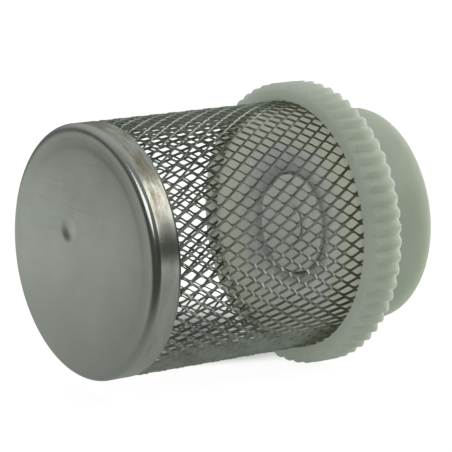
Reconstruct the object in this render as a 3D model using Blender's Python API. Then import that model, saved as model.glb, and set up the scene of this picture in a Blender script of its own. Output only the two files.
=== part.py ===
"""Foot valve with a built-in strainer: end cap, expanded-metal sleeve, nylon body and spring-loaded poppet.

Metres, +Z up. The valve's axis is the X axis: the end cap is at -X, the outlet at +X, and the origin is
the centre of the outlet's end face. Places along the axis are given as distances from the cap's face.
"""

from math import cos, pi, sin

import bmesh
import bpy

LENGTH = 0.0630
GAP = 0.0003

CAP_RADIUS = 0.0225
CAP_SHEET = 0.0005
CAP_EDGE_RADIUS = 0.0010
CAP_SKIRT_END = 0.0052

SLEEVE_RADIUS = 0.0225
SLEEVE_SHEET = 0.0005
SLEEVE_START = CAP_SHEET + GAP
SLEEVE_NECK_RADIUS = CAP_RADIUS - CAP_SHEET - GAP
SLEEVE_NECK_END = CAP_SKIRT_END + GAP
LATTICE_START = 0.0066
LATTICE_END = 0.0440
LATTICE_ROUND = 24
LATTICE_LONG = 4
STRAND_HALF_WIDTH = 0.00065

BODY_FRONT = 0.0449
FLANGE_FRONT = 0.04445
FLANGE_FACE_RADIUS = 0.0245
FLANGE_CHAMFER_END = 0.0453
FLANGE_REAR = 0.0507
GROOVE_RADII = (0.0215, 0.02275)
GROOVE_FLOOR = 0.04635
FLANGE_TIP_RADIUS = 0.02568
FLANGE_VALLEY_RADIUS = 0.02475
FLANGE_TEETH = 60
SPIGOT_RADIUS = 0.0197
SPIGOT_CHAMFER = 0.0006

INLET_RADIUS = 0.01485
SEAT_BORE_RADIUS = 0.0095
SEAT_NECK = 0.0462
SEAT_FACE = 0.0466
SEAT_BEAD_TOP = 0.0469
SEAT_BEAD_RADII = (0.0097, 0.0103)
CHAMBER_RADIUS = 0.0142
GUIDE_STEP = 0.0534
GUIDE_BORE_RADIUS = 0.01505
SOCKET_FLOOR = 0.0550
SOCKET_RELIEF_RADIUS = 0.0166
THREAD_START = 0.0571
THREAD_END = 0.0622
THREAD_PITCH = 0.002309
THREAD_MINOR_RADIUS = 0.015145
THREAD_MAJOR_RADIUS = 0.016625
THREAD_ROWS_PER_PITCH = 6

SEAL_FRONT = SEAT_BEAD_TOP + GAP
SEAL_THICKNESS = 0.0013
SEAL_RADIUS = 0.0110
POPPET_LIFT = 0.0034
DISC_FRONT = SEAL_FRONT + SEAL_THICKNESS + GAP
DISC_THICKNESS = 0.0012
DISC_REAR = DISC_FRONT + DISC_THICKNESS
DISC_RADIUS = 0.0113
BOSS_RADIUS = 0.0060
STUD_RADIUS = 0.0030
STUD_HEAD_RADIUS = 0.0037
STUD_HEAD_THICKNESS = 0.0005
STEM_RADIUS = 0.0019
STEM_END = 0.0576
RETAINER_RADIUS = 0.0086
RETAINER_THICKNESS = 0.0011
RETAINER_REAR = SEAL_FRONT - GAP
STUD_NECK = RETAINER_REAR - RETAINER_THICKNESS - GAP

GUIDE_FRONT = GUIDE_STEP + GAP
GUIDE_RING_RADII = (0.0120, 0.01475)
GUIDE_THICKNESS = 0.0013
GUIDE_HUB_RADIUS = 0.0058
GUIDE_POCKET_RADIUS = 0.0042
GUIDE_POCKET_FLOOR = 0.0562
GUIDE_HUB_END = 0.0577
GUIDE_STEM_BORE_RADIUS = STEM_RADIUS + 0.00025
GUIDE_ARMS = 3
GUIDE_ARM_WIDTH = 0.0022

SPRING_MEAN_RADIUS = 0.0034
SPRING_WIRE_RADIUS = 0.0003
SPRING_END_TURNS = 0.75
SPRING_ACTIVE_TURNS = 2.0
SPRING_POINTS_PER_TURN = 16

WASHER_RADII = (0.0132, 0.0158)
WASHER_THICKNESS = 0.0016

STEEL = ((0.56, 0.57, 0.54), 0.25, 1.0)
SPRING_STEEL = ((0.60, 0.60, 0.58), 0.30, 1.0)
MILKY_NYLON = ((0.66, 0.69, 0.62), 0.45, 0.0)
WHITE_ACETAL = ((0.78, 0.78, 0.75), 0.40, 0.0)
PALE_RUBBER = ((0.46, 0.47, 0.44), 0.65, 0.0)


def clear_scene():
    for thing in list(bpy.data.objects):
        bpy.data.objects.remove(thing)


def material(name, look):
    colour, roughness, metallic = look
    made = bpy.data.materials.new(name)
    made.use_nodes = True
    shader = made.node_tree.nodes["Principled BSDF"]
    shader.inputs["Base Color"].default_value = (*colour, 1.0)
    shader.inputs["Roughness"].default_value = roughness
    shader.inputs["Metallic"].default_value = metallic
    return made


def place(name, mesh, look, parent):
    """Puts a mesh in the scene as one named piece with its own material."""
    piece = bpy.data.objects.new(name, mesh)
    bpy.context.scene.collection.objects.link(piece)
    piece.data.materials.append(material(name, look))
    piece.parent = parent
    return piece


def finish_mesh(bm, name):
    """Turns a bmesh into a mesh with its faces pointing out, smooth but for its sharp edges."""
    bmesh.ops.recalc_face_normals(bm, faces=bm.faces)
    mesh = bpy.data.meshes.new(name)
    bm.to_mesh(mesh)
    bm.free()
    mesh.shade_smooth()
    mesh.set_sharp_from_angle(angle=pi / 6)
    return mesh


def ring(bm, distance, radius, count):
    """A ring of points round the valve's axis. radius is a length, or a function of the angle."""
    points = []
    for step in range(count):
        angle = 2 * pi * step / count
        reach = radius(angle) if callable(radius) else radius
        points.append(bm.verts.new((distance - LENGTH, reach * cos(angle), reach * sin(angle))))
    return points


def join_rings(bm, first, second):
    """Faces between two rings, one of which may have twice the points of the other."""
    if len(first) > len(second):
        first, second = second, first
    count, ratio = len(first), len(second) // len(first)
    for step in range(count):
        near, far = first[step], first[(step + 1) % count]
        outer = [second[(ratio * step + k) % len(second)] for k in range(ratio + 1)]
        if ratio == 1:
            bm.faces.new((near, far, outer[1], outer[0]))
        else:
            bm.faces.new((near, outer[1], outer[0]))
            bm.faces.new((near, far, outer[1]))
            bm.faces.new((far, outer[2], outer[1]))


def cap_ring(bm, points, distance):
    """Closes a ring with a fan round a point on the axis."""
    centre = bm.verts.new((distance - LENGTH, 0.0, 0.0))
    for step, point in enumerate(points):
        bm.faces.new((point, points[(step + 1) % len(points)], centre))


def turned_ring(outline, count):
    """A turned piece with an open middle, from its closed outline of (distance, radius) points."""
    bm = bmesh.new()
    rings = [ring(bm, distance, radius, count) for distance, radius in outline]
    for step, points in enumerate(rings):
        join_rings(bm, points, rings[(step + 1) % len(rings)])
    return bm


def turned_solid(outline, count):
    """A turned piece that reaches the axis at the first and last distance of its outline."""
    bm = bmesh.new()
    rings = [ring(bm, distance, radius, count) for distance, radius in outline]
    for first, second in zip(rings, rings[1:]):
        join_rings(bm, first, second)
    cap_ring(bm, rings[0], outline[0][0])
    cap_ring(bm, rings[-1], outline[-1][0])
    return bm


def quarter_round(centre, radius, start, end, steps):
    """Points of an arc in (distance, radius), from angle start to end, 0 pointing along the axis."""
    angles = [start + (end - start) * step / steps for step in range(steps + 1)]
    return [(centre[0] + radius * cos(a), centre[1] + radius * sin(a)) for a in angles]


def rectangle(front, rear, inner, outer):
    return [(front, inner), (front, outer), (rear, outer), (rear, inner)]


def end_cap(parent):
    corner = (CAP_EDGE_RADIUS, CAP_RADIUS - CAP_EDGE_RADIUS)
    outside = quarter_round(corner, CAP_EDGE_RADIUS, pi, pi / 2, 4)
    inside = quarter_round(corner, CAP_EDGE_RADIUS - CAP_SHEET, pi / 2, pi, 3)
    skirt = [(CAP_SKIRT_END, CAP_RADIUS), (CAP_SKIRT_END, CAP_RADIUS - CAP_SHEET)]
    bm = turned_solid(outside + skirt + inside, 48)
    return place("end_cap", finish_mesh(bm, "end_cap"), STEEL, parent)


def sleeve_point(bm, around, along, inner):
    """A point of the sleeve's lattice, in half cells round and along it."""
    angle = pi * around / LATTICE_ROUND
    distance = LATTICE_START + (LATTICE_END - LATTICE_START) * along / (2 * LATTICE_LONG)
    reach = SLEEVE_RADIUS - (SLEEVE_SHEET if inner else 0.0)
    return bm.verts.new((distance - LENGTH, reach * cos(angle), reach * sin(angle)))


def lattice_hole_scale():
    """How much of a diamond its opening takes, so that the strands have their width."""
    half_long = (LATTICE_END - LATTICE_START) / (2 * LATTICE_LONG)
    half_wide = pi * SLEEVE_RADIUS / LATTICE_ROUND
    half_gap = half_long * half_wide / (half_long**2 + half_wide**2) ** 0.5
    return 1 - STRAND_HALF_WIDTH / half_gap


def diamond(bm, bonds, around, along, scale):
    """One diamond of the lattice: its strands on both faces, and the walls of its opening."""
    turns = ((1, 0), (0, 1), (-1, 0), (0, -1))
    sides = []
    for inner in (False, True):
        corners = [
            bonds[(around + a) % (2 * LATTICE_ROUND), along + b, inner] for a, b in turns
        ]
        rim = [
            sleeve_point(bm, around + scale * a, along + scale * b, inner) for a, b in turns
        ]
        for step in range(4):
            after = (step + 1) % 4
            bm.faces.new((corners[step], corners[after], rim[after], rim[step]))
        sides.append(rim)
    for step in range(4):
        after = (step + 1) % 4
        bm.faces.new((sides[0][step], sides[0][after], sides[1][after], sides[1][step]))


def sleeve_end(bm, bonds, along, radii_and_distances):
    """The plain band at one end of the sleeve, from the lattice's border out to the cut edge."""
    last = {}
    for inner in (False, True):
        border = [bonds[around, along, inner] for around in range(1, 2 * LATTICE_ROUND, 2)]
        inset = SLEEVE_SHEET if inner else 0.0
        for distance, radius in radii_and_distances:
            band = [
                bm.verts.new(
                    (distance - LENGTH, (radius - inset) * cos(a), (radius - inset) * sin(a))
                )
                for a in (pi * (2 * k + 1) / LATTICE_ROUND for k in range(LATTICE_ROUND))
            ]
            join_rings(bm, border, band)
            border = band
        last[inner] = border
    join_rings(bm, last[False], last[True])


def strainer_sleeve(parent):
    bm = bmesh.new()
    bonds = {
        (around, along, inner): sleeve_point(bm, around, along, inner)
        for around in range(2 * LATTICE_ROUND)
        for along in range(2 * LATTICE_LONG + 1)
        for inner in (False, True)
        if (around + along) % 2
    }
    scale = lattice_hole_scale()
    for along in range(1, 2 * LATTICE_LONG):
        for around in range(along % 2, 2 * LATTICE_ROUND, 2):
            diamond(bm, bonds, around, along, scale)
    for along, step in ((0, 1), (2 * LATTICE_LONG, -1)):
        for around in range(0, 2 * LATTICE_ROUND, 2):
            for inner in (False, True):
                before = bonds[(around - 1) % (2 * LATTICE_ROUND), along, inner]
                after = bonds[around + 1, along, inner]
                bm.faces.new((before, after, bonds[around, along + step, inner]))
    sleeve_end(
        bm,
        bonds,
        0,
        [(SLEEVE_NECK_END, SLEEVE_NECK_RADIUS), (SLEEVE_START, SLEEVE_NECK_RADIUS)],
    )
    sleeve_end(bm, bonds, 2 * LATTICE_LONG, [(GROOVE_FLOOR - GAP, SLEEVE_RADIUS - GAP / 2)])
    return place("strainer_sleeve", finish_mesh(bm, "strainer_sleeve"), STEEL, parent)


def flange_tooth(angle):
    """Radius of the knurled flange: a tip at angle 0, then a valley half a tooth later."""
    phase = (angle * FLANGE_TEETH / (2 * pi)) % 1.0
    share = abs(2 * phase - 1)
    return FLANGE_VALLEY_RADIUS + (FLANGE_TIP_RADIUS - FLANGE_VALLEY_RADIUS) * share


def thread_radius(distance):
    """Radius of the internal thread at a distance, as a function of the angle, fading at both ends."""
    middle = (THREAD_MINOR_RADIUS + THREAD_MAJOR_RADIUS) / 2
    depth = (THREAD_MAJOR_RADIUS - THREAD_MINOR_RADIUS) / 2
    fade = min(1.0, (THREAD_END - distance) / THREAD_PITCH, (distance - THREAD_START) / THREAD_PITCH)

    def radius(angle):
        return middle + depth * fade * cos(2 * pi * distance / THREAD_PITCH - angle)

    return radius


def thread_rings():
    """(distance, radius) of the thread's rings, from the mouth inwards."""
    rows = round((THREAD_END - THREAD_START) / THREAD_PITCH * THREAD_ROWS_PER_PITCH)
    distances = [THREAD_END - (THREAD_END - THREAD_START) * row / rows for row in range(rows + 1)]
    return [(distance, thread_radius(distance)) for distance in distances]


def body_outline():
    """Closed outline of the body: outside from the flange to the outlet, then back through the bore."""
    outside = [
        (FLANGE_FRONT, GROOVE_RADII[1]),
        (FLANGE_FRONT, FLANGE_FACE_RADIUS),
        (FLANGE_CHAMFER_END, flange_tooth),
        (FLANGE_REAR, flange_tooth),
        (FLANGE_REAR, SPIGOT_RADIUS),
        (LENGTH - SPIGOT_CHAMFER, SPIGOT_RADIUS),
        (LENGTH, SPIGOT_RADIUS - SPIGOT_CHAMFER),
    ]
    socket = [(LENGTH, THREAD_MAJOR_RADIUS)] + thread_rings() + [
        (THREAD_START, SOCKET_RELIEF_RADIUS),
        (SOCKET_FLOOR, SOCKET_RELIEF_RADIUS),
        (SOCKET_FLOOR, GUIDE_BORE_RADIUS),
        (GUIDE_STEP, GUIDE_BORE_RADIUS),
        (GUIDE_STEP, CHAMBER_RADIUS),
    ]
    seat = [
        (SEAT_FACE, CHAMBER_RADIUS),
        (SEAT_FACE, SEAT_BEAD_RADII[1]),
        (SEAT_BEAD_TOP, SEAT_BEAD_RADII[1]),
        (SEAT_BEAD_TOP, SEAT_BEAD_RADII[0]),
        (SEAT_FACE, SEAT_BORE_RADIUS),
        (SEAT_NECK, SEAT_BORE_RADIUS),
        (BODY_FRONT, INLET_RADIUS),
    ]
    groove = [
        (BODY_FRONT, GROOVE_RADII[0]),
        (GROOVE_FLOOR, GROOVE_RADII[0]),
        (GROOVE_FLOOR, GROOVE_RADII[1]),
    ]
    return outside + socket + seat + groove


def valve_body(parent):
    bm = bmesh.new()
    rings = [
        ring(bm, distance, radius, 2 * FLANGE_TEETH if radius is flange_tooth else FLANGE_TEETH)
        for distance, radius in body_outline()
    ]
    for step, points in enumerate(rings):
        join_rings(bm, points, rings[(step + 1) % len(rings)])
    return place("valve_body", finish_mesh(bm, "valve_body"), MILKY_NYLON, parent)


def poppet(parent):
    """Valve disc with the boss and snap stud of its seal in front, and its guide stem behind."""
    outline = [
        (STUD_NECK - STUD_HEAD_THICKNESS, STUD_RADIUS),
        (STUD_NECK, STUD_HEAD_RADIUS),
        (STUD_NECK, STUD_RADIUS),
        (SEAL_FRONT, STUD_RADIUS),
        (SEAL_FRONT, BOSS_RADIUS),
        (DISC_FRONT, BOSS_RADIUS),
        (DISC_FRONT, DISC_RADIUS),
        (DISC_REAR, DISC_RADIUS),
        (DISC_REAR, STEM_RADIUS),
        (STEM_END, STEM_RADIUS),
    ]
    return place("poppet", finish_mesh(turned_solid(outline, 40), "poppet"), WHITE_ACETAL, parent)


def poppet_seal(parent):
    outline = rectangle(SEAL_FRONT, SEAL_FRONT + SEAL_THICKNESS, BOSS_RADIUS + GAP, SEAL_RADIUS)
    bm = turned_ring(outline, 40)
    return place("poppet_seal", finish_mesh(bm, "poppet_seal"), PALE_RUBBER, parent)


def seal_retainer(parent):
    """Washer that holds the rubber seal on the poppet's boss."""
    front = RETAINER_REAR - RETAINER_THICKNESS
    outline = rectangle(front, RETAINER_REAR, STUD_RADIUS + GAP, RETAINER_RADIUS)
    bm = turned_ring(outline, 40)
    return place("seal_retainer", finish_mesh(bm, "seal_retainer"), WHITE_ACETAL, parent)


def spring_distance(turn):
    """Distance of the wire's centre after so many turns: closed end turns and open middle turns."""
    start = DISC_REAR + GAP + SPRING_WIRE_RADIUS
    end = GUIDE_POCKET_FLOOR - GAP - SPRING_WIRE_RADIUS
    closed = SPRING_END_TURNS * 2.1 * SPRING_WIRE_RADIUS
    if turn < SPRING_END_TURNS:
        return start + closed * turn / SPRING_END_TURNS
    if turn > SPRING_END_TURNS + SPRING_ACTIVE_TURNS:
        left = 2 * SPRING_END_TURNS + SPRING_ACTIVE_TURNS - turn
        return end - closed * left / SPRING_END_TURNS
    share = (turn - SPRING_END_TURNS) / SPRING_ACTIVE_TURNS
    return start + closed + share * (end - start - 2 * closed)


def poppet_spring(parent):
    curve = bpy.data.curves.new("poppet_spring", "CURVE")
    curve.dimensions = "3D"
    turns = 2 * SPRING_END_TURNS + SPRING_ACTIVE_TURNS
    count = round(turns * SPRING_POINTS_PER_TURN) + 1
    spline = curve.splines.new("POLY")
    spline.points.add(count - 1)
    for step, point in enumerate(spline.points):
        turn = turns * step / (count - 1)
        angle = 2 * pi * turn
        along = spring_distance(turn) - LENGTH
        point.co = (along, SPRING_MEAN_RADIUS * cos(angle), SPRING_MEAN_RADIUS * sin(angle), 1.0)
    curve.bevel_depth = SPRING_WIRE_RADIUS
    curve.bevel_resolution = 1
    curve.use_fill_caps = True
    spring = bpy.data.objects.new("poppet_spring", curve)
    bpy.context.scene.collection.objects.link(spring)
    curve.materials.append(material("poppet_spring", SPRING_STEEL))
    spring.parent = parent


def guide_arm(parent, number):
    """A hidden bar from the hub to the ring, which is joined into the guide."""
    reach = (GUIDE_RING_RADII[0] + GUIDE_RING_RADII[1]) / 2
    inner = (GUIDE_POCKET_RADIUS + GUIDE_HUB_RADIUS) / 2
    bm = bmesh.new()
    bmesh.ops.create_cube(bm, size=1.0)
    for point in bm.verts:
        point.co.x = GUIDE_FRONT - LENGTH + GUIDE_THICKNESS * (0.5 + point.co.x * 0.9)
        point.co.y *= GUIDE_ARM_WIDTH
        point.co.z = inner + (reach - inner) * (0.5 + point.co.z)
    mesh = finish_mesh(bm, "guide_arm")
    arm = place(f"guide_arm_{number}", mesh, WHITE_ACETAL, parent)
    arm.rotation_euler.x = 2 * pi * number / GUIDE_ARMS
    arm.hide_render = True
    arm.display_type = "WIRE"
    return arm


def add_union(piece, other):
    """Joins a hidden piece into this one."""
    union = piece.modifiers.new(other.name, "BOOLEAN")
    union.operation = "UNION"
    union.solver = "EXACT"
    union.object = other


def guide_spider(parent):
    """Ring, hub and arms: the stem slides in the hub, and the spring stands in its pocket."""
    rear = GUIDE_FRONT + GUIDE_THICKNESS
    ring_mesh = turned_ring(rectangle(GUIDE_FRONT, rear, *GUIDE_RING_RADII), 48)
    guide = place("guide_spider", finish_mesh(ring_mesh, "guide_spider"), WHITE_ACETAL, parent)
    hub_outline = [
        (GUIDE_FRONT, GUIDE_POCKET_RADIUS),
        (GUIDE_FRONT, GUIDE_HUB_RADIUS),
        (GUIDE_HUB_END, GUIDE_HUB_RADIUS),
        (GUIDE_HUB_END, GUIDE_STEM_BORE_RADIUS),
        (GUIDE_POCKET_FLOOR, GUIDE_STEM_BORE_RADIUS),
        (GUIDE_POCKET_FLOOR, GUIDE_POCKET_RADIUS),
    ]
    hub = place("guide_hub", finish_mesh(turned_ring(hub_outline, 32), "guide_hub"), WHITE_ACETAL, parent)
    hub.hide_render = True
    hub.display_type = "WIRE"
    for number in range(GUIDE_ARMS):
        add_union(guide, guide_arm(parent, number))
    add_union(guide, hub)


def outlet_washer(parent):
    front = SOCKET_FLOOR + GAP
    bm = turned_ring(rectangle(front, front + WASHER_THICKNESS, *WASHER_RADII), 48)
    return place("outlet_washer", finish_mesh(bm, "outlet_washer"), PALE_RUBBER, parent)


def empty(name):
    made = bpy.data.objects.new(name, None)
    bpy.context.scene.collection.objects.link(made)
    return made


def main():
    clear_scene()
    housing = empty("valve_frame")
    moving = empty("poppet_frame")
    for build in (end_cap, strainer_sleeve, valve_body, guide_spider, poppet_spring, outlet_washer):
        build(housing)
    for build in (poppet, poppet_seal, seal_retainer):
        build(moving)


main()
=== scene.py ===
"""Foot valve with a strainer basket: the visible pieces, their materials, and a plain studio round them.

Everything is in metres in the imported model's frame. The valve's axis is the X axis, with the outlet's end
face at x = 0 and the end cap at -X. Places along the axis are written as distances from the cap's face.
"""

from math import asin, atan2, cos, hypot, pi, radians, sin, tau

import bmesh
import bpy
from mathutils import Matrix, Vector, noise


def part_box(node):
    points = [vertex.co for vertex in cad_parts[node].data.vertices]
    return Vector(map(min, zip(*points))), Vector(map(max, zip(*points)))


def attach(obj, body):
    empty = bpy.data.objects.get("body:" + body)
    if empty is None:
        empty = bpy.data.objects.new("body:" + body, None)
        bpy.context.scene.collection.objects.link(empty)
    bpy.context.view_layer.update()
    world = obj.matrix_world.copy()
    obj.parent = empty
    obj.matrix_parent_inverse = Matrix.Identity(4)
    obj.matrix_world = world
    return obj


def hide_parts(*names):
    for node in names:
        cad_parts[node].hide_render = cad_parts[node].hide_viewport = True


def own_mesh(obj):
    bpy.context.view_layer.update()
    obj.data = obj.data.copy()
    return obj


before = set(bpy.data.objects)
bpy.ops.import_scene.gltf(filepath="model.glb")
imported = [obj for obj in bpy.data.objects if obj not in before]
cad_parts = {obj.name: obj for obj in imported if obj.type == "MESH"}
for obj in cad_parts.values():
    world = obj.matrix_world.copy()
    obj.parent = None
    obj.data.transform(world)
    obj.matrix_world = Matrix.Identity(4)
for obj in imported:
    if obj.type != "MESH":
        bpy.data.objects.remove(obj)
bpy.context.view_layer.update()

MM = 0.001

# the camera: where it looks, from which side, and how far away
CAMERA_TARGET = (-0.0426, -0.0145, 0.0047)
CAMERA_AZIMUTH = radians(-36.5)
CAMERA_ELEVATION = radians(11.06)
CAMERA_DISTANCE = 0.4932
CAMERA_LENS = 227.5

# the outside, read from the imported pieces
CAP_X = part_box("end_cap")[0].x
CAP_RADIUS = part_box("end_cap")[1].z
SKIRT_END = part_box("end_cap")[1].x - CAP_X
SLEEVE_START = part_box("strainer_sleeve")[0].x - CAP_X
SLEEVE_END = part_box("strainer_sleeve")[1].x - CAP_X
SLEEVE_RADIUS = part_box("strainer_sleeve")[1].z
FLANGE_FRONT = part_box("valve_body")[0].x - CAP_X
FLANGE_TIP_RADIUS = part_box("valve_body")[1].z
LENGTH = -CAP_X

CAP_SHEET = 0.5 * MM
CAP_EDGE_DEPTH = 1.1 * MM
CAP_EDGE_WIDTH = 1.4 * MM

STRIPS = 112
CELL_LENGTH = 3.87 * MM
STRAND_WIDTH = 0.46 * MM
STRAND_THICKNESS = 0.26 * MM
STRAND_TILT = radians(43)
BOND_LENGTH = 0.50 * MM
NECK_INSET = 0.62 * MM
STRAND_WOBBLE = 0.03 * MM

BODY_FRONT = 44.9 * MM
FLANGE_FACE_RADIUS = 24.5 * MM
FLANGE_CHAMFER_END = 45.3 * MM
FLANGE_REAR = 50.7 * MM
FLANGE_VALLEY_RADIUS = 24.9 * MM
FLANGE_TEETH = 60
TOOTH_SAMPLES = 10
GROOVE_INNER = 21.5 * MM
GROOVE_OUTER = 22.75 * MM
GROOVE_FLOOR = 46.35 * MM
SPIGOT_RADIUS = 19.7 * MM
INLET_RADIUS = 14.85 * MM
SEAT_BORE_RADIUS = 9.5 * MM
SEAT_NECK = 46.2 * MM
SEAT_FACE = 46.6 * MM
SEAT_BEAD_TOP = 46.9 * MM
CHAMBER_RADIUS = 14.2 * MM
GUIDE_BORE_RADIUS = 15.05 * MM
GUIDE_STEP = 53.4 * MM
SOCKET_FLOOR = 55.0 * MM
SOCKET_RELIEF_RADIUS = 16.6 * MM
THREAD_START = 57.1 * MM
THREAD_END = 62.2 * MM
THREAD_PITCH = 2.309 * MM
THREAD_MINOR_RADIUS = 15.145 * MM
THREAD_MAJOR_RADIUS = 16.625 * MM
THREAD_ROWS = 48


# ---------------------------------------------------------------- shapes


def mesh_object(name, bm, sharp=35):
    """An object from a bmesh, shaded smooth but for edges sharper than so many degrees."""
    bmesh.ops.recalc_face_normals(bm, faces=bm.faces)
    mesh = bpy.data.meshes.new(name)
    bm.to_mesh(mesh)
    bm.free()
    mesh.shade_smooth()
    mesh.set_sharp_from_angle(angle=radians(sharp))
    piece = bpy.data.objects.new(name, mesh)
    bpy.context.scene.collection.objects.link(piece)
    return piece


def axis_point(distance, radius, angle):
    return (CAP_X + distance, radius * cos(angle), radius * sin(angle))


def ring(bm, distance, radius, count):
    """A ring round the axis. radius is a length, or a function of (distance, angle)."""
    points = []
    for step in range(count):
        angle = tau * step / count
        reach = radius(distance, angle) if callable(radius) else radius
        points.append(bm.verts.new(axis_point(distance, reach, angle)))
    return points


def join_rings(bm, first, second):
    """Faces between two rings, one of which may have twice the points of the other."""
    if len(first) > len(second):
        first, second = second, first
    count, ratio = len(first), len(second) // len(first)
    for step in range(count):
        near, far = first[step], first[(step + 1) % count]
        outer = [second[(ratio * step + k) % len(second)] for k in range(ratio + 1)]
        if ratio == 1:
            bm.faces.new((near, far, outer[1], outer[0]))
        else:
            bm.faces.new((near, outer[1], outer[0]))
            bm.faces.new((near, far, outer[1]))
            bm.faces.new((far, outer[2], outer[1]))


def cap_ring(bm, points, distance):
    centre = bm.verts.new((CAP_X + distance, 0, 0))
    for step, point in enumerate(points):
        bm.faces.new((point, points[(step + 1) % len(points)], centre))


def turned(bm, outline, count, closed=True):
    """Adds a turned body. A closed outline makes a ring; an open one is closed on the axis."""
    rings = [ring(bm, distance, radius, count) for distance, radius in outline]
    for first, second in zip(rings, rings[1:]):
        join_rings(bm, first, second)
    if closed:
        join_rings(bm, rings[-1], rings[0])
    else:
        cap_ring(bm, rings[0], outline[0][0])
        cap_ring(bm, rings[-1], outline[-1][0])


def rounded(corners, closed=True, steps=4):
    """An outline from (distance, radius, fillet) corners, each fillet drawn as an arc."""
    outline = []
    count = len(corners)
    for index, (distance, radius, fillet) in enumerate(corners):
        at = Vector((distance, radius))
        ends = not closed and index in (0, count - 1)
        if fillet <= 0 or ends:
            outline.append((distance, radius))
            continue
        before = Vector(corners[index - 1][:2]) - at
        after = Vector(corners[(index + 1) % count][:2]) - at
        half = before.angle(after) / 2
        reach = min(fillet / abs(sin(half) / cos(half)), 0.49 * before.length, 0.49 * after.length)
        start, end = at + before.normalized() * reach, at + after.normalized() * reach
        for step in range(steps + 1):
            share = step / steps
            bend = start.lerp(at, share).lerp(at.lerp(end, share), share)
            outline.append((bend.x, bend.y))
    return outline


def smoothstep(low, high, value):
    share = min(1.0, max(0.0, (value - low) / (high - low)))
    return share * share * (3 - 2 * share)


def ride(piece, body, slot, *nodes):
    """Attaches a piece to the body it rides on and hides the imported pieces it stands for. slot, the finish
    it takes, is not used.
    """
    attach(piece, body)
    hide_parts(*nodes)


# ---------------------------------------------------------------- the end cap

CAP_SEGMENTS = 256
CAP_DOME = 0.12 * MM
CAP_PANEL_RADIUS = 18.6 * MM
CAP_PANEL_STEP = 0.02 * MM
DENT_CENTRE = (4.0 * MM, 3.4 * MM)
DENT_RADIUS = 2.6 * MM
DENT_DEPTH = 0.20 * MM


def cap_face_depth(radius):
    """How far the cap's face lies behind its crown: slightly domed, with a soft step round its panel."""
    step = smoothstep(CAP_PANEL_RADIUS - 0.7 * MM, CAP_PANEL_RADIUS + 0.7 * MM, radius)
    return CAP_DOME * (radius / CAP_RADIUS) ** 3 + CAP_PANEL_STEP * step


def cap_unevenness(point):
    """Soft waves that drawing the sheet leaves, and one shallow dent, in metres."""
    broad = noise.noise(Vector((3.1, point[1] * 70, point[2] * 70)))
    dent = hypot(point[1] - DENT_CENTRE[0], point[2] - DENT_CENTRE[1]) / DENT_RADIUS
    return broad * 0.02 * MM + DENT_DEPTH * (1 - smoothstep(0, 1, dent))


def edge_arc(depth, width, steps):
    """The cap's rounded edge, from its face to its skirt: a quarter of an ellipse."""
    flat = CAP_RADIUS - CAP_EDGE_WIDTH
    start = cap_face_depth(flat)
    quarter = [pi / 2 * step / steps for step in range(steps + 1)]
    return [(start + CAP_EDGE_DEPTH - depth * cos(a), flat + width * sin(a)) for a in quarter]


def make_end_cap():
    flat = CAP_RADIUS - CAP_EDGE_WIDTH
    face = [(cap_face_depth(flat * step / 64), flat * step / 64) for step in range(1, 64)]
    arc = edge_arc(CAP_EDGE_DEPTH, CAP_EDGE_WIDTH, 14)
    start = arc[-1][0]
    skirt = [(start + (SKIRT_END - start) * step / 8, CAP_RADIUS) for step in range(1, 7)]
    skirt += [(SKIRT_END - 0.42 * MM, CAP_RADIUS), (SKIRT_END - 0.34 * MM, CAP_RADIUS - 0.10 * MM),
              (SKIRT_END - 0.24 * MM, CAP_RADIUS - 0.03 * MM)]
    lip = [(SKIRT_END - 0.06 * MM, CAP_RADIUS), (SKIRT_END, CAP_RADIUS - 0.08 * MM),
           (SKIRT_END, CAP_RADIUS - CAP_SHEET)]
    inner_arc = edge_arc(CAP_EDGE_DEPTH - CAP_SHEET, CAP_EDGE_WIDTH - CAP_SHEET, 8)[::-1]
    back = [(CAP_SHEET + cap_face_depth(flat * step / 24), flat * step / 24) for step in range(23, 0, -1)]
    bm = bmesh.new()
    turned(bm, face + arc + skirt + lip + inner_arc + back, CAP_SEGMENTS, closed=False)
    for point in bm.verts:
        reach = hypot(point.co.y, point.co.z)
        flatness = 1 - smoothstep(flat - 1 * MM, flat, reach)
        point.co.x += max(0.0, cap_unevenness(point.co) + 0.02 * MM) * flatness
        if reach > CAP_RADIUS - CAP_SHEET - 0.01 * MM and point.co.x > CAP_X + CAP_EDGE_DEPTH:
            angle = atan2(point.co.z, point.co.y)
            wave = 0.5 + 0.5 * noise.noise(Vector((cos(angle) * 2.2, sin(angle) * 2.2, point.co.x * 500)))
            squeeze = 1 - 0.04 * MM * wave / reach
            point.co.y *= squeeze
            point.co.z *= squeeze
    piece = mesh_object("end_cap_shell", bm, sharp=50)
    piece.data.materials.append(polished_steel())
    ride(piece, "housing", "cap_steel", "end_cap")


# ---------------------------------------------------------------- the expanded-metal sleeve


def sleeve_lift(distance):
    """How far the strands stand off the inner radius: pressed flat under the cap's skirt."""
    return smoothstep(SKIRT_END - 0.2 * MM, SKIRT_END + 1.3 * MM, distance)


def strip_samples():
    """(distance, swing) along a strip: swing is -1 or 1 at its bonds, and 0 half way between them."""
    half_cell = CELL_LENGTH / 2
    first = FLANGE_FRONT - 0.1 * MM
    samples = []
    for step in range(-24, 3):
        bond, side = first + step * half_cell, 1 if step % 2 else -1
        samples += [(bond - BOND_LENGTH / 2, side), (bond, side), (bond + BOND_LENGTH / 2, side)]
        start, end = bond + BOND_LENGTH / 2, bond + half_cell - BOND_LENGTH / 2
        samples += [(start + (end - start) * share, side * (1 - 2 * share)) for share in (0.25, 0.5, 0.75)]
    return [(d, swing) for d, swing in samples if SLEEVE_START <= d <= SLEEVE_END]


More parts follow.
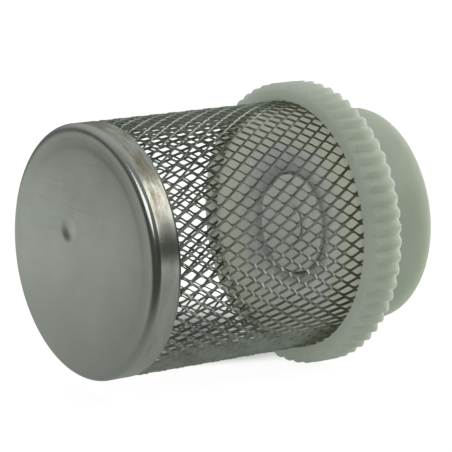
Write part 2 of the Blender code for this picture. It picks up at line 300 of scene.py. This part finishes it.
def strand_corner(strip, distance, swing, across, through):
    """One corner of a strand's section, across its width and through its thickness."""
    pitch = tau / STRIPS
    tilt = STRAND_TILT * (0.25 + 0.75 * sleeve_lift(distance))
    middle = SLEEVE_RADIUS - abs(STRAND_WIDTH * sin(STRAND_TILT)) - STRAND_THICKNESS / 2 * cos(STRAND_TILT)
    middle -= (1 - sleeve_lift(distance)) * NECK_INSET
    side = swing if strip % 2 else -swing
    room = (pitch * middle - STRAND_WIDTH * cos(tilt)) / 2
    sideways = side * room + across * STRAND_WIDTH / 2 * cos(tilt)
    sideways -= through * STRAND_THICKNESS / 2 * sin(tilt)
    outward = -side * STRAND_WIDTH / 2 * sin(tilt) + across * STRAND_WIDTH / 2 * sin(tilt)
    outward += through * STRAND_THICKNESS / 2 * cos(tilt)
    angle = (strip + 0.5) * pitch + sideways / middle
    radius = middle + outward
    wobble = noise.noise(Vector((strip * 0.37, distance * 900, across))) * STRAND_WOBBLE
    return axis_point(distance, radius + wobble, angle)


def make_sleeve():
    samples = strip_samples()
    corners = ((-1, -1), (1, -1), (1, 1), (-1, 1))
    bm = bmesh.new()
    for strip in range(STRIPS):
        rows = [
            [bm.verts.new(strand_corner(strip, distance, swing, *corner)) for corner in corners]
            for distance, swing in samples
        ]
        for first, second in zip(rows, rows[1:]):
            join_rings(bm, first, second)
        bm.faces.new(rows[0])
        bm.faces.new(rows[-1][::-1])
    piece = mesh_object("expanded_metal_sleeve", bm, sharp=40)
    piece.data.materials.append(strand_steel())
    # light passes the thin strands as if they weren't there, which keeps the nylon behind them pale
    piece.visible_shadow = False
    piece.visible_diffuse = False
    ride(piece, "housing", "mesh_steel", "strainer_sleeve")


# ---------------------------------------------------------------- the nylon body


def knurl(angle):
    """Radius of the knurled rim at an angle: blunt crests with narrow valleys between them."""
    phase = (angle * FLANGE_TEETH / tau) % 1.0
    height = min(1.0, abs(2 * phase - 1) * 1.25)
    return FLANGE_VALLEY_RADIUS + (FLANGE_TIP_RADIUS - FLANGE_VALLEY_RADIUS) * height


def knurled(limit):
    """The rim where a turned face of radius limit is cut by the knurl."""
    return lambda distance, angle: min(limit, knurl(angle))


def thread(distance, angle):
    """Radius of the internal thread, its flanks rounded at crest and root, fading at both ends."""
    turn = tau * distance / THREAD_PITCH - angle
    wave = asin(0.95 * cos(turn)) / asin(0.95)
    fade = smoothstep(0, 1, (THREAD_END - distance) / (0.8 * THREAD_PITCH))
    fade *= smoothstep(0, 1, (distance - THREAD_START) / (0.8 * THREAD_PITCH))
    middle = (THREAD_MINOR_RADIUS + THREAD_MAJOR_RADIUS) / 2
    relief = (1 - fade) * (SOCKET_RELIEF_RADIUS - middle)
    return middle + relief + fade * wave * (THREAD_MAJOR_RADIUS - THREAD_MINOR_RADIUS) / 2


def body_outside():
    """Knurled flange and spigot, from the groove's edge to the outlet."""
    rim = rounded(
        [
            (FLANGE_FRONT, GROOVE_OUTER, 0),
            (FLANGE_FRONT, FLANGE_FACE_RADIUS, 1.0 * MM),
            (FLANGE_CHAMFER_END, FLANGE_TIP_RADIUS, 0.6 * MM),
            (FLANGE_REAR, FLANGE_TIP_RADIUS, 0.15 * MM),
            (FLANGE_REAR, SPIGOT_RADIUS, 0),
        ],
        closed=False,
    )
    knurled_rim = [(distance, knurled(radius)) for distance, radius in rim[:-1]]
    spigot = rounded(
        [
            (FLANGE_REAR, FLANGE_VALLEY_RADIUS - 1 * MM, 0),
            (FLANGE_REAR, SPIGOT_RADIUS, 0.5 * MM),
            (LENGTH, SPIGOT_RADIUS - 0.05 * MM, 1.0 * MM),
            (LENGTH, THREAD_MAJOR_RADIUS + 0.2 * MM, 0.3 * MM),
            (THREAD_END, THREAD_MAJOR_RADIUS - 0.1 * MM, 0),
        ],
        closed=False,
        steps=6,
    )
    return knurled_rim, spigot


def body_inside():
    """Thread, socket, chamber, seat and inlet, from the outlet back to the groove."""
    span = THREAD_END - THREAD_START
    threads = [(THREAD_END - span * row / THREAD_ROWS, thread) for row in range(1, THREAD_ROWS)]
    bore = rounded(
        [
            (THREAD_START, SOCKET_RELIEF_RADIUS, 0),
            (SOCKET_FLOOR, SOCKET_RELIEF_RADIUS, 0.2 * MM),
            (SOCKET_FLOOR, GUIDE_BORE_RADIUS, 0.15 * MM),
            (GUIDE_STEP, GUIDE_BORE_RADIUS, 0.15 * MM),
            (GUIDE_STEP, CHAMBER_RADIUS, 0.15 * MM),
            (SEAT_FACE, CHAMBER_RADIUS, 0.5 * MM),
            (SEAT_FACE, SEAT_BORE_RADIUS + 0.9 * MM, 0.1 * MM),
            (SEAT_BEAD_TOP, SEAT_BORE_RADIUS + 0.75 * MM, 0.12 * MM),
            (SEAT_BEAD_TOP, SEAT_BORE_RADIUS + 0.25 * MM, 0.12 * MM),
            (SEAT_FACE, SEAT_BORE_RADIUS, 0.1 * MM),
            (SEAT_NECK, SEAT_BORE_RADIUS, 0.3 * MM),
            (BODY_FRONT, INLET_RADIUS, 0.3 * MM),
            (BODY_FRONT, GROOVE_INNER, 0.2 * MM),
            (GROOVE_FLOOR, GROOVE_INNER, 0.1 * MM),
            (GROOVE_FLOOR, GROOVE_OUTER, 0),
        ],
        closed=False,
    )
    return threads + bore


def make_body():
    fine = FLANGE_TEETH * TOOTH_SAMPLES
    rim, spigot = body_outside()
    bm = bmesh.new()
    rings = [ring(bm, distance, radius, fine) for distance, radius in rim]
    rings += [ring(bm, distance, radius, fine // 2) for distance, radius in spigot + body_inside()]
    for first, second in zip(rings, rings[1:] + rings[:1]):
        join_rings(bm, first, second)
    piece = mesh_object("nylon_body", bm, sharp=32)
    piece.data.materials.append(milky_nylon())
    ride(piece, "housing", "nylon", "valve_body")


# ---------------------------------------------------------------- the pieces inside

STUD_RADIUS = 3.0 * MM
STUD_HEAD_RADIUS = 3.7 * MM
STUD_HEAD_FRONT = 44.98 * MM
STUD_NECK = 45.5 * MM
BOSS_RADIUS = 6.0 * MM
BOSS_FRONT = 47.2 * MM
DISC_RADIUS = 11.3 * MM
DISC_FRONT = 48.8 * MM
DISC_REAR = 50.0 * MM
STEM_RADIUS = 1.9 * MM
STEM_END = 57.6 * MM
TURNED_SEGMENTS = 128


def make_poppet():
    """Stud with a snap-in head, boss, disc and stem, in one moulding."""
    outline = rounded(
        [
            (STUD_HEAD_FRONT, 2.2 * MM, 0),
            (STUD_HEAD_FRONT + 0.12 * MM, 3.1 * MM, 0.2 * MM),
            (STUD_NECK - 0.04 * MM, STUD_HEAD_RADIUS, 0.1 * MM),
            (STUD_NECK, STUD_RADIUS, 0.05 * MM),
            (BOSS_FRONT, STUD_RADIUS, 0.05 * MM),
            (BOSS_FRONT, BOSS_RADIUS, 0.05 * MM),
            (DISC_FRONT, BOSS_RADIUS, 0.05 * MM),
            (DISC_FRONT, DISC_RADIUS, 0.25 * MM),
            (DISC_REAR, DISC_RADIUS, 0.25 * MM),
            (DISC_REAR, STEM_RADIUS, 0.6 * MM),
            (STEM_END, STEM_RADIUS, 0.4 * MM),
            (STEM_END, 0.8 * MM, 0),
        ],
        closed=False,
    )
    bm = bmesh.new()
    turned(bm, outline, TURNED_SEGMENTS, closed=False)
    piece = mesh_object("poppet_moulding", bm)
    piece.data.materials.append(white_acetal())
    ride(piece, "poppet", "acetal", "poppet")


# rings are (front, rear, inner radius, outer radius)
SEAL = (BOSS_FRONT, 48.5 * MM, 6.3 * MM, 11.0 * MM)
RETAINER = (45.8 * MM, 46.9 * MM, 3.3 * MM, 8.9 * MM)
OUTLET_WASHER = (55.3 * MM, 56.9 * MM, 13.2 * MM, 15.8 * MM)


def ring_piece(name, front, rear, inner, outer, fillet):
    """A turned ring with rounded edges."""
    corners = [(front, inner, fillet), (front, outer, fillet), (rear, outer, fillet), (rear, inner, fillet)]
    bm = bmesh.new()
    turned(bm, rounded(corners), TURNED_SEGMENTS)
    return mesh_object(name, bm)


def make_rings():
    rubber = pale_rubber()
    seal = ring_piece("seal_ring", *SEAL, 0.2 * MM)
    seal.data.materials.append(rubber)
    ride(seal, "poppet", "seal_rubber", "poppet_seal")
    retainer = ring_piece("seal_retainer_washer", *RETAINER, 0.2 * MM)
    retainer.data.materials.append(white_acetal())
    ride(retainer, "poppet", "acetal", "seal_retainer")
    washer = ring_piece("outlet_flat_washer", *OUTLET_WASHER, 0.15 * MM)
    washer.data.materials.append(rubber)
    ride(washer, "housing", "seal_rubber", "outlet_washer")


GUIDE_FRONT = 53.7 * MM
GUIDE_REAR = SOCKET_FLOOR
GUIDE_RING_INNER = 12.0 * MM
GUIDE_RING_OUTER = 14.75 * MM
GUIDE_EDGE = 0.15 * MM
HUB_RADIUS = 5.8 * MM
HUB_REAR = 57.7 * MM
HUB_BORE_RADIUS = 2.15 * MM
SPRING_POCKET_RADIUS = 4.2 * MM
SPRING_POCKET_FLOOR = 56.2 * MM
ARMS = 3
ARM_SIZE = (1.16, 2.2, 8.4)
ARM_MIDDLE = (54.35, 9.2)


def guide_ring():
    corners = [(GUIDE_FRONT, GUIDE_RING_INNER, 0), (GUIDE_FRONT, GUIDE_RING_OUTER, 0.2 * MM),
               (GUIDE_REAR, GUIDE_RING_OUTER, 0.2 * MM), (GUIDE_REAR, GUIDE_RING_INNER, 0)]
    bm = bmesh.new()
    turned(bm, rounded(corners), TURNED_SEGMENTS)
    return mesh_object("guide_moulding", bm)


def guide_hub():
    corners = [
        (GUIDE_FRONT, SPRING_POCKET_RADIUS, 0.15 * MM),
        (GUIDE_FRONT, HUB_RADIUS, 0.15 * MM),
        (HUB_REAR, HUB_RADIUS - 0.2 * MM, 0.4 * MM),
        (HUB_REAR, HUB_BORE_RADIUS, 0.2 * MM),
        (SPRING_POCKET_FLOOR, HUB_BORE_RADIUS, 0),
        (SPRING_POCKET_FLOOR, SPRING_POCKET_RADIUS, 0.2 * MM),
    ]
    bm = bmesh.new()
    turned(bm, rounded(corners), 96)
    return mesh_object("guide_hub", bm)


def guide_arm(number):
    """An arm from the hub to the ring. Its size and middle are in millimetres."""
    bm = bmesh.new()
    bmesh.ops.create_cube(bm, size=1.0)
    for point in bm.verts:
        x, y, z = (share * size for share, size in zip(point.co, ARM_SIZE))
        point.co = Vector((CAP_X + (ARM_MIDDLE[0] + x) * MM, y * MM, (ARM_MIDDLE[1] + z) * MM))
    bm.transform(Matrix.Rotation(tau * number / ARMS, 4, "X"))
    return mesh_object(f"guide_arm_{number}", bm)


def make_guide():
    """Ring, arms and hub are joined, then bevelled as one moulding."""
    guide = guide_ring()
    parts = [guide_hub()] + [guide_arm(number) for number in range(ARMS)]
    for part in parts:
        union = guide.modifiers.new(part.name, "BOOLEAN")
        union.operation = "UNION"
        union.object = part
    bevel = guide.modifiers.new("edges", "BEVEL")
    bevel.width = GUIDE_EDGE
    bevel.segments = 2
    bevel.angle_limit = radians(50)
    apply_modifiers(guide)
    for part in parts:
        bpy.data.objects.remove(part)
    guide.data.materials.append(white_acetal())
    ride(guide, "housing", "acetal", "guide_spider")


def apply_modifiers(piece):
    """Makes the shape that a piece's modifiers give its own mesh."""
    bpy.context.view_layer.update()
    evaluated = piece.evaluated_get(bpy.context.evaluated_depsgraph_get())
    mesh = bpy.data.meshes.new_from_object(evaluated)
    piece.modifiers.clear()
    piece.data = mesh
    piece.data.materials.clear()


SPRING_MEAN_RADIUS = 3.4 * MM
SPRING_WIRE_RADIUS = 0.3 * MM
SPRING_FRONT = 50.3 * MM
SPRING_REAR = 55.9 * MM
SPRING_END_TURNS = 0.75
SPRING_TURNS = 3.5
SPRING_STEPS = 260
SPRING_SIDES = 14


def spring_distance(turn):
    """Where the wire's centre is after so many turns: closed end turns and open middle turns."""
    start, end = SPRING_FRONT + SPRING_WIRE_RADIUS, SPRING_REAR - SPRING_WIRE_RADIUS
    closed = SPRING_END_TURNS * 2.1 * SPRING_WIRE_RADIUS
    if turn < SPRING_END_TURNS:
        return start + closed * turn / SPRING_END_TURNS
    if turn > SPRING_TURNS - SPRING_END_TURNS:
        return end - closed * (SPRING_TURNS - turn) / SPRING_END_TURNS
    share = (turn - SPRING_END_TURNS) / (SPRING_TURNS - 2 * SPRING_END_TURNS)
    return start + closed + smoothstep(0, 1, share) * (end - start - 2 * closed)


def spring_section(bm, turn):
    """The ring of points round the wire after so many turns."""
    middle, points = spring_distance(turn), []
    for side in range(SPRING_SIDES):
        a = tau * side / SPRING_SIDES
        reach = SPRING_MEAN_RADIUS + SPRING_WIRE_RADIUS * cos(a)
        points.append(bm.verts.new(axis_point(middle + SPRING_WIRE_RADIUS * sin(a), reach, tau * turn)))
    return points


def make_spring():
    bm = bmesh.new()
    rows = [spring_section(bm, SPRING_TURNS * step / SPRING_STEPS) for step in range(SPRING_STEPS + 1)]
    for first, second in zip(rows, rows[1:]):
        join_rings(bm, first, second)
    bm.faces.new(rows[0])
    bm.faces.new(rows[-1][::-1])
    spring = mesh_object("closing_spring", bm, sharp=60)
    spring.data.materials.append(spring_steel())
    ride(spring, "housing", "spring_steel", "poppet_spring")
    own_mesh(spring)


# ---------------------------------------------------------------- materials


class Nodes:
    """A material's nodes, added one at a time."""

    def __init__(self, name):
        self.material = bpy.data.materials.new(name)
        self.material.use_nodes = True
        self.tree = self.material.node_tree
        self.shader = self.tree.nodes["Principled BSDF"]

    def add(self, kind, settings=(), **inputs):
        node = self.tree.nodes.new("ShaderNode" + kind)
        for key, value in dict(settings).items():
            setattr(node, key, value)
        for key, value in inputs.items():
            self.feed(node, key.replace("_", " "), value)
        return node

    def feed(self, node, socket, value):
        if isinstance(value, bpy.types.NodeSocket):
            self.tree.links.new(value, node.inputs[socket])
        else:
            node.inputs[socket].default_value = value

    def set(self, **inputs):
        for key, value in inputs.items():
            self.feed(self.shader, key.replace("_", " "), value)

    def place(self):
        """Where the surface is, in the object's own metres."""
        return self.add("TexCoord").outputs["Object"]

    def stretched(self, scale):
        return self.add("Mapping", Vector=self.place(), Scale=scale).outputs["Vector"]

    def noise(self, scale, detail=3.0, roughness=0.5, vector=None):
        node = self.add("TexNoise", Scale=scale, Detail=detail, Roughness=roughness)
        self.feed(node, "Vector", vector or self.place())
        return node.outputs["Fac"]

    def range(self, value, low, high, to_low=0.0, to_high=1.0):
        node = self.add("MapRange", Value=value)
        node.inputs["From Min"].default_value = low
        node.inputs["From Max"].default_value = high
        node.inputs["To Min"].default_value = to_low
        node.inputs["To Max"].default_value = to_high
        return node.outputs["Result"]

    def maths(self, operation, first, second):
        node = self.tree.nodes.new("ShaderNodeMath")
        node.operation = operation
        self.feed(node, 0, first)
        self.feed(node, 1, second)
        return node.outputs["Value"]

    def mix(self, factor, first, second):
        node = self.tree.nodes.new("ShaderNodeMix")
        node.data_type = "RGBA"
        self.feed(node, 0, factor)
        for socket, value in ((6, first), (7, second)):
            if not isinstance(value, bpy.types.NodeSocket):
                value = (*value, 1.0)
            self.feed(node, socket, value)
        return node.outputs[2]

    def joined(self, kind, first, second, factor=None):
        """Two shaders added, or mixed by a factor."""
        node = self.add(kind)
        if factor is not None:
            self.feed(node, 0, factor)
        start = 0 if factor is None else 1
        self.feed(node, start, first.outputs[0])
        self.feed(node, start + 1, second.outputs[0])
        return node

    def bump(self, height, distance, strength=1.0, normal=None):
        node = self.add("Bump", Height=height, Distance=distance, Strength=strength)
        if normal:
            self.feed(node, "Normal", normal)
        return node.outputs["Normal"]


def polished_steel():
    """Drawn stainless sheet: soft reflections, fine scratches, and heat tint on the skirt."""
    n = Nodes("polished_steel")
    place = n.add("SeparateXYZ", Vector=n.place())
    x, z = place.outputs["X"], place.outputs["Z"]
    on_skirt = n.range(x, CAP_X + 0.8 * MM, CAP_X + 1.5 * MM)
    stain = n.range(n.noise(300, 5, 0.7, n.stretched((2.2, 0.6, 0.6))), 0.40, 0.62)
    upper = n.range(z, 2 * MM, 15 * MM, 0.25, 1.0)
    tint = n.maths("MULTIPLY", n.maths("MULTIPLY", stain, on_skirt), upper)
    cloud = n.noise(70, 4, 0.6)
    clean = n.mix(n.range(cloud, 0.35, 0.65), (0.545, 0.565, 0.545), (0.59, 0.605, 0.58))
    n.set(Metallic=1.0)
    n.set(Base_Color=n.mix(n.maths("MULTIPLY", tint, 0.85), clean, (0.30, 0.24, 0.15)))
    smudge = n.range(n.noise(120, 5, 0.7), 0.3, 0.7, 0.15, 0.23)
    scratches = n.range(n.noise(700, 2, 0.6, n.stretched((1, 0.1, 2.2))), 0.55, 0.8, 0.0, 0.07)
    rough = n.maths("ADD", smudge, scratches)
    n.set(Roughness=n.maths("ADD", rough, n.maths("MULTIPLY", tint, 0.15)))
    n.set(Normal=n.bump(n.noise(900, 3, 0.5), 0.003 * MM, 0.5))
    return n.material


def strand_steel():
    """Expanded stainless sheet: smooth faces, dull sheared sides, and grey film in places."""
    n = Nodes("strand_steel")
    film = n.range(n.noise(260, 4, 0.6), 0.42, 0.72)
    n.set(Metallic=1.0)
    clean = n.mix(film, (0.43, 0.455, 0.42), (0.28, 0.305, 0.275))
    x = n.add("SeparateXYZ", Vector=n.place()).outputs["X"]
    # strands turn darker and more olive over the last few millimetres before the flange
    uneven = n.maths("MULTIPLY", n.noise(180, 3, 0.5), 5 * MM)
    flange_end_darkening = n.range(n.maths("ADD", x, uneven), CAP_X + 40 * MM, CAP_X + 45 * MM)
    n.set(Base_Color=n.mix(n.maths("MULTIPLY", flange_end_darkening, 0.8), clean, (0.16, 0.16, 0.10)))
    n.set(Roughness=n.range(n.noise(1500, 3, 0.6), 0.3, 0.7, 0.26, 0.42))
    n.set(Normal=n.bump(n.noise(5200, 2, 0.5, n.stretched((0.35, 1, 1))), 0.006 * MM, 0.6))
    return n.material


# painted light and shade: inside the basket the nylon is coloured paler than its skin, standing in for light
# let through its translucent walls; the rim gets a warmer tint for the basket's shade, and the inlet's thin
# wall is palest, for the most light let through
RIM_PAINTED_LIGHT_AND_SHADE = (0.88, 0.89, 0.78)
WALL_PAINTED_LIGHT = (0.97, 0.98, 0.95)


def milky_nylon():
    """Natural nylon: light passes into it and out again, with faint flow clouds and a satin skin."""
    n = Nodes("milky_nylon")
    cloud = n.range(n.noise(95, 4, 0.55, n.stretched((1.6, 1, 1))), 0.35, 0.68)
    skin_colour = n.mix(cloud, (0.64, 0.705, 0.625), (0.71, 0.765, 0.69))
    place = n.add("SeparateXYZ", Vector=n.place())
    reach = n.add("CombineXYZ", Y=place.outputs["Y"], Z=place.outputs["Z"])
    radius = n.add("VectorMath", {"operation": "LENGTH"}, Vector=reach.outputs[0]).outputs["Value"]
    # painted light: front faces inside the basket take a paler colour, standing in for light let through the
    # translucent walls
    in_front = n.range(place.outputs["X"], CAP_X + 47.0 * MM, CAP_X + 46.4 * MM)
    inside = n.maths("MULTIPLY", n.range(radius, GROOVE_OUTER, GROOVE_INNER), in_front)
    painted_light_and_shade_colour = n.mix(n.range(radius, INLET_RADIUS + 0.2 * MM, INLET_RADIUS), RIM_PAINTED_LIGHT_AND_SHADE, WALL_PAINTED_LIGHT)
    n.set(Base_Color=n.mix(inside, skin_colour, painted_light_and_shade_colour))
    n.set(Roughness=n.range(n.noise(420, 4, 0.6), 0.3, 0.7, 0.38, 0.52))
    n.set(IOR=1.45, Subsurface_Weight=1.0, Subsurface_Scale=7.0 * MM)
    n.set(Subsurface_Radius=(1.0, 1.0, 0.85))
    skin = n.bump(n.noise(2400, 3, 0.6), 0.012 * MM, 0.5)
    n.set(Normal=n.bump(n.noise(160, 3, 0.5, n.stretched((0.5, 1, 1))), 0.06 * MM, 0.35, skin))
    return n.material


def white_acetal():
    """Smooth white moulding, faintly clouded, that lets a little light in."""
    n = Nodes("white_acetal")
    cloud = n.range(n.noise(240, 3, 0.5), 0.35, 0.7)
    n.set(Base_Color=n.mix(cloud, (0.84, 0.845, 0.82), (0.90, 0.90, 0.88)))
    n.set(Roughness=n.range(n.noise(700, 3, 0.5), 0.3, 0.7, 0.30, 0.42))
    n.set(IOR=1.48, Subsurface_Weight=0.4, Subsurface_Scale=0.8 * MM)
    n.set(Normal=n.bump(n.noise(3000, 3, 0.6), 0.006 * MM, 0.5))
    return n.material


def pale_rubber():
    """Matt pale rubber with a patchy bloom and a fine grain."""
    n = Nodes("pale_rubber")
    bloom = n.range(n.noise(500, 4, 0.65), 0.4, 0.75)
    n.set(Base_Color=n.mix(bloom, (0.42, 0.43, 0.40), (0.50, 0.51, 0.48)))
    n.set(Roughness=n.range(n.noise(1800, 3, 0.6), 0.3, 0.7, 0.55, 0.78))
    n.set(Normal=n.bump(n.noise(6000, 3, 0.6), 0.012 * MM, 0.6))
    return n.material


def spring_steel():
    """Bright drawn wire."""
    n = Nodes("spring_steel")
    n.set(Metallic=1.0)
    n.set(Base_Color=n.mix(n.noise(600, 3, 0.5), (0.58, 0.58, 0.55), (0.68, 0.67, 0.64)))
    n.set(Roughness=n.range(n.noise(2500, 3, 0.6), 0.3, 0.7, 0.18, 0.32))
    n.set(Normal=n.bump(n.noise(8000, 2, 0.5), 0.004 * MM, 0.5))
    return n.material


# ---------------------------------------------------------------- the studio


# level directions on the floor, about straight away from the camera and to its right
VIEW_AHEAD = (0.618, 0.786, 0.0)
VIEW_RIGHT = (0.786, -0.618, 0.0)

# ramps are (from, to, value at from, value at to)
FLOOR_SIZE = 6.0
FLOOR_AHEAD = (0.85, 0.53, 0.0)
FLOOR_DIM = (-0.09, -0.02, 0.0, 1.0)
FLOOR_NEAR = (0.06, 0.16, 0.68, 1.0)
FLOOR_FAR = (0.20, 0.42, 1.0, 0.45)
FLOOR_LIFT = 0.26
BOUNCE_DIM = (0.14, 0.15, 0.14)
BOUNCE_FULL = (0.55, 0.57, 0.54)
LIFT_COLOUR = (0.96, 1.0, 0.95, 1.0)
SHEET_COLOUR = (0.42, 0.42, 0.42)
SHEET_GLOW = 0.86
SHADOW_COLOUR = (0.16, 0.18, 0.165)
SHADOW_SKEW = (0.382, 0.971, 0.0)
SHADOW_FRONT = (0.004, 0.014, 0.0, 0.85)
SHADOW_REAR = (0.036, 0.064, 1.0, 0.0)
SHADOW_LEFT = (-0.032, -0.008, 0.0, 1.0)
SHADOW_RIGHT = (-0.006, 0.022, 1.0, 0.0)
WORLD_COLOUR = (0.95, 1.0, 0.94, 1.0)
WORLD_AHEAD = (0.62, 0.78, 0.0)
BACKDROP = (-0.55, 0.25, 0.15, 0.42)
HORIZON = (0.10, 0.45, 0.4, 1.0)
OVERHEAD = (0.25, 0.95, 0.0, 0.10)
SOFTBOX_COLOUR = (1.0, 0.96, 0.86)
SOFTBOX_DISTANCE = 1.1
SOFTBOX_DIRECTION = (0.62, -0.53, 0.56)
SOFTBOX_SIZE = (0.42, 0.75)
SOFTBOX_RADIANCE = 1.25
FILL_COLOUR = (0.98, 1.0, 0.95)
FILL_DISTANCE = 1.0
FILL_DIRECTION = (-0.88, -0.22, 0.42)
FILL_SIZE = (0.7, 0.45)
FILL_RADIANCE = 1.6
BACK_COLOUR = (1.0, 1.0, 0.97)
BACK_DISTANCE = 1.0
BACK_DIRECTION = (0.96, 0.10, 0.12)
BACK_SIZE = (0.6, 0.5)
BACK_RADIANCE = 4.0


def make_camera():
    data = bpy.data.cameras.new("camera")
    data.lens = CAMERA_LENS
    data.sensor_width = 36.0
    data.clip_start, data.clip_end = 0.01, 50.0
    camera = bpy.data.objects.new("camera", data)
    bpy.context.scene.collection.objects.link(camera)
    back = Vector((
        sin(CAMERA_AZIMUTH) * cos(CAMERA_ELEVATION),
        -cos(CAMERA_AZIMUTH) * cos(CAMERA_ELEVATION),
        sin(CAMERA_ELEVATION),
    ))
    camera.location = Vector(CAMERA_TARGET) + back * CAMERA_DISTANCE
    camera.rotation_euler = (-back).to_track_quat("-Z", "Y").to_euler()
    bpy.context.scene.camera = camera


def spread(tree, value, low, high, to_low, to_high):
    """A smooth ramp of a value in a node tree."""
    node = tree.nodes.new("ShaderNodeMapRange")
    node.interpolation_type = "SMOOTHSTEP"
    tree.links.new(value, node.inputs["Value"])
    for socket, number in zip(("From Min", "From Max", "To Min", "To Max"), (low, high, to_low, to_high)):
        node.inputs[socket].default_value = number
    return node.outputs["Result"]


def along(tree, vector, direction):
    """How far a vector reaches along a direction, in a node tree."""
    node = tree.nodes.new("ShaderNodeVectorMath")
    node.operation = "DOT_PRODUCT"
    tree.links.new(vector, node.inputs[0])
    node.inputs[1].default_value = direction
    return node.outputs["Value"]


def floor_as_seen(n):
    """What the camera sees: nearly white, with a painted shadow, a soft dark patch, behind the object."""
    depth = along(n.tree, n.place(), VIEW_AHEAD)
    width = along(n.tree, n.place(), VIEW_RIGHT)
    front = along(n.tree, n.place(), SHADOW_SKEW)
    # painted shadow: the floor's camera colour is darkened in a soft patch behind the object, which no lamp
    # casts
    patch = n.maths("MULTIPLY", spread(n.tree, front, *SHADOW_FRONT), spread(n.tree, depth, *SHADOW_REAR))
    sides = n.maths("MULTIPLY", spread(n.tree, width, *SHADOW_LEFT), spread(n.tree, width, *SHADOW_RIGHT))
    clear = n.maths("SUBTRACT", 1.0, n.maths("MULTIPLY", patch, sides))
    sheet = n.add("BsdfDiffuse", Color=n.mix(clear, SHADOW_COLOUR, SHEET_COLOUR))
    glow = n.add("Emission", Color=(1.0, 1.0, 1.0, 1.0), Strength=n.maths("MULTIPLY", clear, SHEET_GLOW))
    return n.joined("AddShader", sheet, glow)


def floor_as_light(n):
    """What the object gets from the floor: soft grey light, dim in front of it and far away."""
    ahead = along(n.tree, n.place(), FLOOR_AHEAD)
    distance = n.add("VectorMath", {"operation": "LENGTH"}, Vector=n.place()).outputs["Value"]
    shade = n.maths("MULTIPLY", spread(n.tree, ahead, *FLOOR_DIM), spread(n.tree, distance, *FLOOR_NEAR))
    shade = n.maths("MULTIPLY", shade, spread(n.tree, distance, *FLOOR_FAR))
    bounce = n.add("BsdfDiffuse", Color=n.mix(shade, BOUNCE_DIM, BOUNCE_FULL))
    lift = n.add("Emission", Color=LIFT_COLOUR, Strength=n.maths("MULTIPLY", shade, FLOOR_LIFT))
    return n.joined("AddShader", bounce, lift)


def pale_floor():
    """White to the camera and grey to everything else, and clear from below."""
    n = Nodes("pale_floor")
    n.tree.nodes.remove(n.shader)
    seen = n.add("LightPath").outputs["Is Camera Ray"]
    top = n.joined("MixShader", floor_as_light(n), floor_as_seen(n), seen)
    below = n.add("NewGeometry").outputs["Backfacing"]
    both = n.joined("MixShader", top, n.add("BsdfTransparent"), below)
    n.feed(n.tree.nodes["Material Output"], "Surface", both.outputs[0])
    return n.material


def make_floor():
    bm = bmesh.new()
    bmesh.ops.create_grid(bm, x_segments=1, y_segments=1, size=FLOOR_SIZE)
    floor = mesh_object("floor", bm)
    floor.location = (CAP_X / 2, 0, -FLANGE_TIP_RADIUS - 0.05 * MM)
    floor.data.materials.append(pale_floor())


def area_light(name, direction, distance, size, radiance, colour):
    """A rectangle facing the object; its power follows from how bright it looks."""
    data = bpy.data.lights.new(name, "AREA")
    data.shape = "RECTANGLE"
    data.size, data.size_y = size
    data.energy = radiance * pi * size[0] * size[1]
    data.color = colour
    light = bpy.data.objects.new(name, data)
    bpy.context.scene.collection.objects.link(light)
    away = Vector(direction).normalized()
    light.location = Vector((CAP_X / 2, 0, 0)) + away * distance
    light.rotation_euler = away.to_track_quat("Z", "Y").to_euler()
    light.visible_camera = False


def make_lights():
    area_light("softbox", SOFTBOX_DIRECTION, SOFTBOX_DISTANCE, SOFTBOX_SIZE, SOFTBOX_RADIANCE, SOFTBOX_COLOUR)
    area_light("fill", FILL_DIRECTION, FILL_DISTANCE, FILL_SIZE, FILL_RADIANCE, FILL_COLOUR)
    area_light("back", BACK_DIRECTION, BACK_DISTANCE, BACK_SIZE, BACK_RADIANCE, BACK_COLOUR)


def make_world():
    """A pale backdrop behind the object, a dim room behind the camera, and soft light from above."""
    world = bpy.data.worlds.new("studio")
    bpy.context.scene.world = world
    world.use_nodes = True
    tree = world.node_tree
    background = tree.nodes["Background"]
    direction = tree.nodes.new("ShaderNodeTexCoord").outputs["Generated"]
    height = along(tree, direction, (0.0, 0.0, 1.0))
    backdrop = tree.nodes.new("ShaderNodeMath")
    backdrop.operation = "MULTIPLY"
    tree.links.new(spread(tree, along(tree, direction, WORLD_AHEAD), *BACKDROP), backdrop.inputs[0])
    tree.links.new(spread(tree, height, *HORIZON), backdrop.inputs[1])
    above = spread(tree, height, *OVERHEAD)
    light = tree.nodes.new("ShaderNodeMath")
    tree.links.new(backdrop.outputs[0], light.inputs[0])
    tree.links.new(above, light.inputs[1])
    rays = tree.nodes.new("ShaderNodeLightPath")
    shown = tree.nodes.new("ShaderNodeMath")
    shown.operation = "MAXIMUM"
    tree.links.new(light.outputs[0], shown.inputs[0])
    tree.links.new(rays.outputs["Is Camera Ray"], shown.inputs[1])
    background.inputs["Color"].default_value = WORLD_COLOUR
    tree.links.new(shown.outputs[0], background.inputs["Strength"])


make_camera()
make_end_cap()
make_sleeve()
make_body()
make_poppet()
make_rings()
make_guide()
make_spring()
make_floor()
make_lights()
make_world()
bpy.context.scene.view_settings.view_transform = "Standard"
